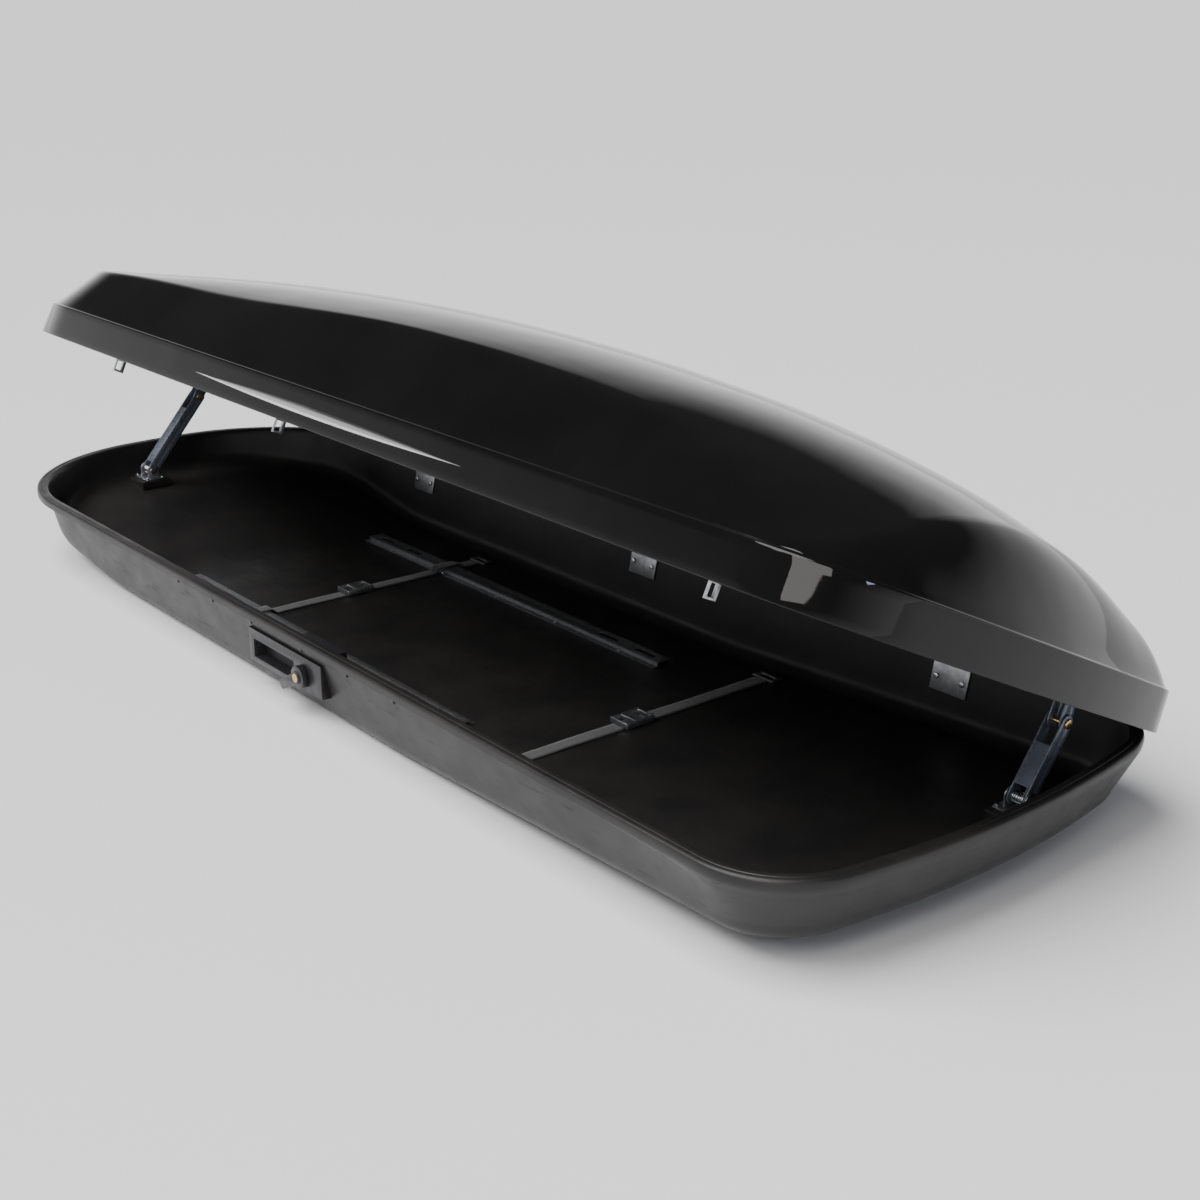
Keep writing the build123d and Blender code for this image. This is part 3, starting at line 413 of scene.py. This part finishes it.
for side_point, nose_point in LIP_UP:
    edges = next_ring(tray, edges, flared(side_point, nose_point))
for inset, height in BEAD:
    edges = next_ring(tray, edges, level(inset / 1000, height / 1000))
tray_side(tray, edges, level(*BEAD_ROOT), INNER_IN, BILGE - WALL, 0)
edges = skirt
for side_point, nose_point in LIP_DOWN:
    edges = next_ring(tray, edges, flared(side_point, nose_point))
tray_side(tray, edges, flared(*LIP_ROOT), BODY_IN, BILGE, WALL)
bmesh.ops.remove_doubles(tray, verts=tray.verts, dist=MERGE)
bmesh.ops.recalc_face_normals(tray, faces=tray.faces)

# slotted holes over the roof bars and the window for the lock housing
BAR_X = (-0.48, 0.18)
SLOT_ROW = 0.19
STUD_HALF = 0.045
SLOT_HALF_LENGTH = 0.025
SLOT_HALF_WIDTH = 0.0045
SLOT_REACH = Vector((SLOT_HALF_LENGTH, SLOT_HALF_WIDTH, 0.02))
cuts = bmesh.new()
for bar_x in BAR_X:
    for row in (-SLOT_ROW, SLOT_ROW):
        for stud in (-STUD_HALF, STUD_HALF):
            centre = Vector((bar_x + stud, row, 0))
            slot = block(cuts, centre - SLOT_REACH, centre + SLOT_REACH)
            upright = [edge for edge in {edge for vert in slot for edge in vert.link_edges}
                       if abs(edge.verts[0].co.z - edge.verts[1].co.z) > 0.01]
            bmesh.ops.bevel(cuts, geom=upright, offset=SLOT_HALF_WIDTH * 0.98, segments=6, profile=0.5,
                            affect="EDGES", material=-1)
housing_low, housing_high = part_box("lock_housing")
TUB_EDGE = 0.0096
TUB_LOW = 0.0436
TUB_HIGH = 0.0804
block(cuts, (housing_low.x + TUB_EDGE, -LID_WIDTH / 2, TUB_LOW),
      (housing_high.x - TUB_EDGE, housing_high.y, TUB_HIGH))
cut_data = bpy.data.meshes.new("tray_cuts")
cuts.to_mesh(cut_data)
cuts.free()
cutter = bpy.data.objects.new("tray_cuts", cut_data)
bpy.context.scene.collection.objects.link(cutter)
tray_piece = smooth_piece(tray, "tray_moulding", "tray", [grained_abs])
opening = tray_piece.modifiers.new("openings", "BOOLEAN")
opening.operation = "DIFFERENCE"
opening.solver = "EXACT"
opening.object = cutter
depsgraph = bpy.context.evaluated_depsgraph_get()
cut_tray = bpy.data.meshes.new_from_object(tray_piece.evaluated_get(depsgraph))
tray_piece.modifiers.clear()
tray_piece.data = cut_tray
bpy.data.objects.remove(cutter)
cut_tray.set_sharp_from_angle(angle=math.radians(40))
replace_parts(tray_piece, "tray_shell")

# ---- Lifter foot pads
# Two flat-topped bosses moulded with the tray floor, under the lifters' feet.
PAD_HALF = Vector((0.030, 0.030, 0))
PAD_ROOT = 0.002
PAD_ROUND = 0.004
for end in ("front", "rear"):
    low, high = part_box("foot_bracket_" + end)
    middle = (low + high) / 2
    pad = bmesh.new()
    foot = Vector((middle.x, middle.y, floor_height(middle.x) - PAD_ROOT))
    block(pad, foot - PAD_HALF, Vector((middle.x, middle.y, low.z)) + PAD_HALF)
    upper = [edge for face in pad.faces if face.normal.z > 0.9 for edge in face.edges]
    bmesh.ops.bevel(pad, geom=upper, offset=PAD_ROUND, segments=4, profile=0.5, affect="EDGES", material=-1)
    smooth_piece(pad, "foot_pad_" + end, "tray", [grained_abs])


# ---- Rim clips and nose plugs
# Six small clips pressed up under the lip on the lock side, and the round
# soft plugs that close the tooling holes in the nose wall.
def dressed(node, material, edge, segments=2, sharp=35):
    """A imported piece's own shape, copied and merged, with its sharp edges rounded over."""
    mesh = bmesh.new()
    mesh.from_mesh(frame["nodes"][node].data)
    bmesh.ops.remove_doubles(mesh, verts=mesh.verts, dist=MERGE)
    bmesh.ops.dissolve_limit(mesh, angle_limit=math.radians(1), verts=mesh.verts, edges=mesh.edges)
    corners = [item for item in mesh.edges
               if len(item.link_faces) == 2 and item.calc_face_angle() > math.radians(sharp)]
    if edge:
        bmesh.ops.bevel(mesh, geom=corners, offset=edge, segments=segments, profile=0.5, affect="EDGES",
                        clamp_overlap=True, material=-1)
    body = frame["nodes"][node]["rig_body"]
    piece = smooth_piece(mesh, node + "_finished", body, [material], 50)
    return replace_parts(piece, node)


soft_rubber = finish("soft_rubber", (0.006, 0.006, 0.006), (0.012, 0.012, 0.012), (0.6, 0.75), patch=60,
                     grain=2500, relief=0.00005)
dressed("rim_clips", grained_abs, 0.0006)
dressed("nose_plugs", soft_rubber, 0.0006, 3)

# ---- Floor rails and rivets
# Two folded zinc-plated steel hats riveted along the floor, which spread the
# roof bar clamps' load. Their slots line up with the tray's.
zinc = finish("zinc", (0.36, 0.37, 0.39), (0.52, 0.53, 0.54), (0.3, 0.48), metallic=1.0, patch=120, grain=1800,
              relief=0.00004, stretch=(1, 1.6, 1))
plated = finish("plated", (0.55, 0.56, 0.58), (0.7, 0.71, 0.72), (0.18, 0.3), metallic=1.0, patch=200,
                grain=3000, relief=0.00002)
for side in ("near", "far"):
    dressed("floor_rail_" + side, zinc, 0.0005)
dressed("rail_rivets", plated, 0.0008, 3)


# ---- Load straps, buckles and anchors
# Flat polyester webbing laid across the floor between riveted steel anchors,
# each with a cam buckle. The band rides up over the rails under it.
def woven(name):
    """Flat webbing: fine ribs across, paler edges along, and a dull sheen."""
    material = bpy.data.materials.new(name)
    material.use_nodes = True
    tree = material.node_tree
    shader = tree.nodes["Principled BSDF"]
    shader.inputs["Roughness"].default_value = 0.72
    shader.inputs["Sheen Weight"].default_value = 0.35
    across = texture(tree, "ShaderNodeTexWave", 330, (0.2, 1, 1))
    across.bands_direction = "Y"
    across.inputs["Distortion"].default_value = 1.5
    along = texture(tree, "ShaderNodeTexWave", 260, (1, 0.1, 0))
    along.bands_direction = "X"
    weave = tree.nodes.new("ShaderNodeMath")
    weave.operation = "MULTIPLY"
    tree.links.new(across.outputs["Fac"], weave.inputs[0])
    tree.links.new(along.outputs["Fac"], weave.inputs[1])
    tree.links.new(mixed(tree, weave.outputs[0], (0.007, 0.007, 0.008), (0.035, 0.036, 0.04)),
                   shader.inputs["Base Color"])
    tree.links.new(raised(tree, weave.outputs[0], 0.0003), shader.inputs["Normal"])
    return material


webbing = woven("webbing")
STRAP_THICK = 0.0016
STRAP_LIFT = 0.0003
RAIL_RISE = 0.008
RAIL_RAMP = 0.008
RAIL_REACH = 0.029
RIPPLE = 0.0003
for name in ("rear", "front"):
    low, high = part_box("load_strap_" + name)
    band = bmesh.new()
    grid = bmesh.ops.create_grid(band, x_segments=4, y_segments=120, size=1)["verts"]
    over_rails = high.z - low.z > RAIL_RISE
    for vert in grid:
        across = vert.co.x
        vert.co.x = (low.x + high.x) / 2 + across * (high.x - low.x) / 2
        vert.co.y *= high.y
        past_rail = max(0, abs(abs(vert.co.y) - SLOT_ROW) - RAIL_REACH + RAIL_RAMP)
        near_rail = max(0, 1 - past_rail / RAIL_RAMP)
        lift = RAIL_RISE * near_rail * near_rail * (3 - 2 * near_rail) if over_rails else 0
        ripple = RIPPLE * math.sin(vert.co.y * 41 + across * 0.6) * (1 - near_rail)
        vert.co.z = low.z + STRAP_THICK / 2 + STRAP_LIFT + lift + ripple
    strap = smooth_piece(band, "strap_" + name, "tray", [webbing], 60)
    thick = strap.modifiers.new("thickness", "SOLIDIFY")
    thick.thickness = STRAP_THICK * 0.8
    thick.offset = 0
    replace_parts(strap, "load_strap_" + name)
    dressed("cam_buckle_" + name, zinc, 0.0012, 3)
dressed("strap_anchors", zinc, 0.0007, 3)

# ---- Lock bar, tongues and guides
# A flat zinc-plated bar behind the near wall that slides in four nylon guides.
# Three welded tongues enter the lid's strikers. A pegged crank drives it.
nylon = finish("nylon", (0.012, 0.012, 0.013), (0.02, 0.02, 0.022), (0.4, 0.55), patch=80, grain=1500,
               relief=0.00005)
dressed("bar_guides", nylon, 0.0008)
dressed("lock_bar", zinc, 0.0004)
dressed("lock_tongues", zinc, 0.0006)
dressed("bar_driver", zinc, 0.0004)
dressed("crank_disc", zinc, 0.0004)

# ---- Lock housing, cover, handle and cylinder
# The housing is let into the near wall with a finger recess. The turn handle
# pivots in it and carries a brass key cylinder. A cover hides the crank.
moulded = finish("moulded_black", (0.01, 0.01, 0.011), (0.018, 0.018, 0.02), (0.26, 0.4), patch=40, grain=1600,
                 relief=0.00006, scuff=0.15)
brass = finish("brass", (0.62, 0.43, 0.17), (0.8, 0.6, 0.3), (0.16, 0.3), metallic=1.0, patch=160, grain=2600,
               relief=0.00002)
dressed("lock_housing", moulded, 0.0016, 3)
dressed("lock_cover", moulded, 0.0012, 3)
dressed("turn_handle", moulded, 0.0014, 3)
dressed("lock_cylinder", brass, 0.0004)

# ---- Hinges
# Three steel butt hinges along the far side: a leaf screwed inside the tray
# wall, a leaf inside the lid band, and a plain pin through the knuckles.
for name in ("rear", "middle", "front"):
    dressed("hinge_tray_leaf_" + name, zinc, 0.0004)
    dressed("hinge_lid_leaf_" + name, zinc, 0.0004)
for node in ("hinge_pins", "hinge_tray_screws", "hinge_lid_screws"):
    dressed(node, plated, 0.0008, 3)

# ---- Lifters
# A sprung elbow at each end: pressed steel channels in blue-grey paint, a
# brass-coloured rivet at the elbow, and zinc-plated brackets on tray and lid.
lifter_paint = finish("lifter_paint", (0.12, 0.14, 0.18), (0.17, 0.19, 0.24), (0.24, 0.36), metallic=0.35,
                      patch=50, grain=1200, relief=0.00004, scuff=0.3)
for end in ("front", "rear"):
    dressed("foot_bracket_" + end, zinc, 0.0005)
    dressed("foot_pin_" + end, plated, 0.0008, 3)
    dressed("lower_arm_" + end, lifter_paint, 0.0006)
    dressed("elbow_rivet_" + end, brass, 0.0009, 3)
    dressed("lifter_spring_" + end, plated, 0)
    dressed("upper_arm_" + end, lifter_paint, 0.0006)
    dressed("top_pin_" + end, plated, 0.0008, 3)
    dressed("lid_bracket_" + end, zinc, 0.0005)
dressed("foot_bolts", plated, 0.0008, 3)
dressed("lid_bracket_bolts", plated, 0.0008, 3)

# ---- Lid shell
# The top half: an acrylic-faced ABS sheet drawn into a long dome, mirror-black
# outside and grained inside, with a plain band round its lower edge.
EDGE_Z = 0.118
BAND_HEIGHT = 0.055
BAND_DRAFT = math.tan(math.radians(3))
LEDGE = 0.008
LEAN = math.tan(math.radians(33))
CROWN_HALF = 0.27
# station along the length, ridge height above the lid edge, drop at CROWN_HALF
STATIONS = [(-1.18, 0.117, 0.006), (-0.75, 0.203, 0.047), (-0.36, 0.246, 0.074), (0.15, 0.26, 0.072),
            (0.6, 0.24, 0.068), (0.9, 0.196, 0.068), (1.18, 0.112, 0.044)]
lid_joint = [joint for joint in frame["joints"] if joint["name"] == "lid_hinge"][0]
hinge_place = Matrix.Translation(Vector(lid_joint["pos_m"]))
lid_angle = math.radians(lid_joint["range_deg"][1])
opened = hinge_place @ Matrix.Rotation(-lid_angle, 4, "X") @ hinge_place.inverted()
# the rounded corner between flank and roof: how wide, and how soft from the tail to the nose
SHOULDER_HALF = 0.018
EASE_TAIL = 0.006
EASE_NOSE = 0.05
EASE_LEAST = 0.002
EASE_START = 0.2
EASE_RUN = 0.8
ROOF_RIM = 0.03
ROOF_GATHER = 0.76


def station_value(x, column):
    """A smooth curve through the stations' values in one column."""
    last = len(STATIONS) - 1
    index = max(i for i in range(last) if STATIONS[i][0] <= x or i == 0)

    def slope(i):
        before = STATIONS[max(i - 1, 0)]
        after = STATIONS[min(i + 1, last)]
        return (after[column] - before[column]) / (after[0] - before[0])
    start, stop = STATIONS[index], STATIONS[index + 1]
    run = stop[0] - start[0]
    t = (x - start[0]) / run
    return ((2 * t ** 3 - 3 * t ** 2 + 1) * start[column] + (t ** 3 - 2 * t ** 2 + t) * run * slope(index)
            + (3 * t ** 2 - 2 * t ** 3) * stop[column] + (t ** 3 - t ** 2) * run * slope(index + 1))


def roof_height(x, y):
    """Height of the crowned roof above the lid's lower edge."""
    drop = station_value(x, 2)
    radius = (CROWN_HALF ** 2 + drop ** 2) / (2 * drop)
    return station_value(x, 1) - radius + math.sqrt(radius ** 2 - y ** 2)


def shoulder_inset(base, out):
    """How far in from the outline the flank meets the roof."""
    inset = 0.08
    for _ in range(12):
        height = roof_height(base.x - out.x * inset, base.y - out.y * inset)
        inset = LEDGE + (height - BAND_HEIGHT) * LEAN
    return inset


def shoulder_ease(x):
    """How softly flank and roof blend: a crease at the tail that fades towards the nose."""
    return EASE_TAIL + EASE_NOSE * min(1, max(0, (x - EASE_START) / EASE_RUN)) ** 1.5


def skin_height(base, out, inset):
    """The lower of flank and roof, with the corner between them eased."""
    x = base.x - out.x * inset
    flank = BAND_HEIGHT + (inset - LEDGE) / LEAN
    roof = roof_height(x, base.y - out.y * inset)
    spare = roof_height(base.x - out.x * LEDGE, base.y - out.y * LEDGE) - BAND_HEIGHT
    ease = max(EASE_LEAST, min(shoulder_ease(x), spare))
    near = max(ease - abs(flank - roof), 0) / ease
    return EDGE_Z + min(flank, roof) - near * near * ease / 4


def skin_place(share, beyond):
    """A point on the skin: share of the way up the flank, then beyond the shoulder."""
    def place(base, out):
        shoulder = shoulder_inset(base, out)
        half = min(SHOULDER_HALF, (shoulder - LEDGE) * 0.5)
        inset = LEDGE + (shoulder - half - LEDGE) * share
        if share >= 1:
            inset = shoulder + beyond * (half / SHOULDER_HALF if beyond < 0 else 1)
        return inward(base, out, inset, skin_height(base, out, inset))
    return place


def roof_place(share):
    """A point on the way from just inside the shoulder to the roof's middle line."""
    rim = skin_place(1, ROOF_RIM)

    def place(base, out):
        start = rim(base, out)
        point = start.lerp(Vector((base.x * ROOF_GATHER, 0, 0)), share)
        left = EDGE_Z + roof_height(point.x, point.y)
        point.z = left + (start.z - EDGE_Z - roof_height(start.x, start.y)) * (1 - share) ** 3
        return point
    return place


mirror_black = finish("mirror_black", (0.0035, 0.0033, 0.0036), (0.0065, 0.006, 0.006), (0.02, 0.05),
                      ior=1.34, patch=5, grain=500, relief=0.000003, wave=0.0006, scuff=0.06)
inner_abs = finish("inner_abs", (0.012, 0.012, 0.012), (0.02, 0.019, 0.019), (0.42, 0.55), patch=12,
                   grain=1100, relief=0.0001)
# (inset, height) in millimetres: the eased lower edge, and the step from the band in to the flank
CUT_EDGE = 0.0008
EDGE_ROUND = [(0.2, 0.6), (0.1, 1.6)]
BAND_START = 0.0016
BAND_STOP = 0.0046
STEP_IN = [(0.15, -1.6), (0.6, -0.7), (1.4, -0.2), (2.4, 0.0), (3.6, 0.2), (4.7, 0.9), (5.6, 2.0)]
lid = outline()
lid_out = lid.verts.layers.float_vector["out"]
for vert in lid.verts:
    vert.co = inward(vert.co, vert[lid_out], CUT_EDGE, EDGE_Z)
edges = lid.edges[:]
for inset, height in EDGE_ROUND:
    edges = next_ring(lid, edges, level(inset / 1000, EDGE_Z + height / 1000))
for step in range(1, 7):
    height = BAND_START + (BAND_HEIGHT - BAND_STOP) * step / 6
    edges = next_ring(lid, edges, level(height * BAND_DRAFT, EDGE_Z + height))
band_in = BAND_HEIGHT * BAND_DRAFT
for inset, height in STEP_IN:
    edges = next_ring(lid, edges, level(band_in + inset / 1000, EDGE_Z + BAND_HEIGHT + height / 1000))
for step in range(1, 10):
    edges = next_ring(lid, edges, skin_place(0.05 + 0.94 * step / 9, 0))
for step in range(-5, 6):
    edges = next_ring(lid, edges, skin_place(1, 0.003 * step))
for step in (1, 2, 3):
    edges = next_ring(lid, edges, skin_place(1, 0.015 + 0.005 * step))
for step in range(1, 17):
    edges = next_ring(lid, edges, roof_place(step / 16))
bmesh.ops.remove_doubles(lid, verts=lid.verts, dist=MERGE)
bmesh.ops.recalc_face_normals(lid, faces=lid.faces)
bmesh.ops.transform(lid, matrix=opened, verts=lid.verts)
lid_piece = smooth_piece(lid, "lid_dome", "lid", [mirror_black, inner_abs], 180)
wall = lid_piece.modifiers.new("wall", "SOLIDIFY")
wall.thickness = WALL
wall.offset = -1
wall.material_offset = 1
wall.material_offset_rim = 0
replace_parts(lid_piece, "lid_shell")

# ---- Lid bracket posts
# Short ribs moulded under the roof that each lifter's lid bracket bolts to.
POST_X = 0.021
POST_HALF_X = 0.005
POST_HALF_Y = 0.014
POST_SHORT = 0.016
for end in ("front", "rear"):
    shut = [opened.inverted() @ vert.co for vert in frame["nodes"]["lid_bracket_" + end].data.vertices]
    plate_z = max(point.z for point in shut)
    middle_x = sum(point.x for point in shut) / len(shut)
    middle_y = (max(point.y for point in shut) + min(point.y for point in shut)) / 2
    posts = bmesh.new()
    for side in (-1, 1):
        x = middle_x + side * POST_X
        top = EDGE_Z + roof_height(x, abs(middle_y) + POST_SHORT) - WALL
        block(posts, (x - POST_HALF_X, middle_y - POST_HALF_Y, plate_z),
              (x + POST_HALF_X, middle_y + POST_HALF_Y, top))
    bmesh.ops.bevel(posts, geom=posts.edges[:], offset=0.001, segments=2, profile=0.5, affect="EDGES",
                    material=-1)
    bmesh.ops.transform(posts, matrix=opened, verts=posts.verts)
    smooth_piece(posts, "lid_posts_" + end, "lid", [inner_abs])

# ---- Lid rail and strikers
# A stiffening rail bonded inside the near band, with three steel strikers
# screwed to it that the lock bar's tongues slide into.
dressed("lid_rail", nylon, 0.001)
for name in ("rear", "middle", "front"):
    dressed("striker_" + name, zinc, 0.0005)
dressed("striker_screws", plated, 0.0008, 3)

# ---- Trim strip
# A plain bright spindle bonded along the near band: pressed aluminium with a
# polished crown, brushed lightly along its length.
bright = finish("bright_trim", (0.62, 0.62, 0.62), (0.86, 0.86, 0.86), (0.12, 0.26), metallic=1.0, patch=30,
                grain=900, relief=0.00003, stretch=(0.06, 1, 1))
TRIM_MIDDLE = 0.087
TRIM_HALF_LENGTH = 0.359
TRIM_POINT = 0.0004
TRIM_UP = 0.024
TRIM_HALF = 0.007
TRIM_PROUD = 0.0026
strip = bmesh.new()
for vert in bmesh.ops.create_grid(strip, x_segments=90, y_segments=12, size=1)["verts"]:
    along, across = vert.co.x, vert.co.y
    spindle = max(1 - along * along, TRIM_POINT)
    x = TRIM_MIDDLE + along * TRIM_HALF_LENGTH
    z = EDGE_Z + TRIM_UP + across * TRIM_HALF * spindle
    wall_y = -LID_WIDTH / 2 + (z - EDGE_Z) * BAND_DRAFT
    crown = math.sqrt(max(1 - across ** 4, 0)) * min(1, spindle * 4)
    vert.co = (x, wall_y - TRIM_PROUD * crown, z)
bmesh.ops.transform(strip, matrix=opened, verts=strip.verts)
strip_faces = strip.faces[:]
if sum(face.normal.y * face.calc_area() for face in strip_faces) > 0:
    bmesh.ops.reverse_faces(strip, faces=strip_faces)
trim = smooth_piece(strip, "trim_spindle", "lid", [bright], 60)
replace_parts(trim, "trim_strip")
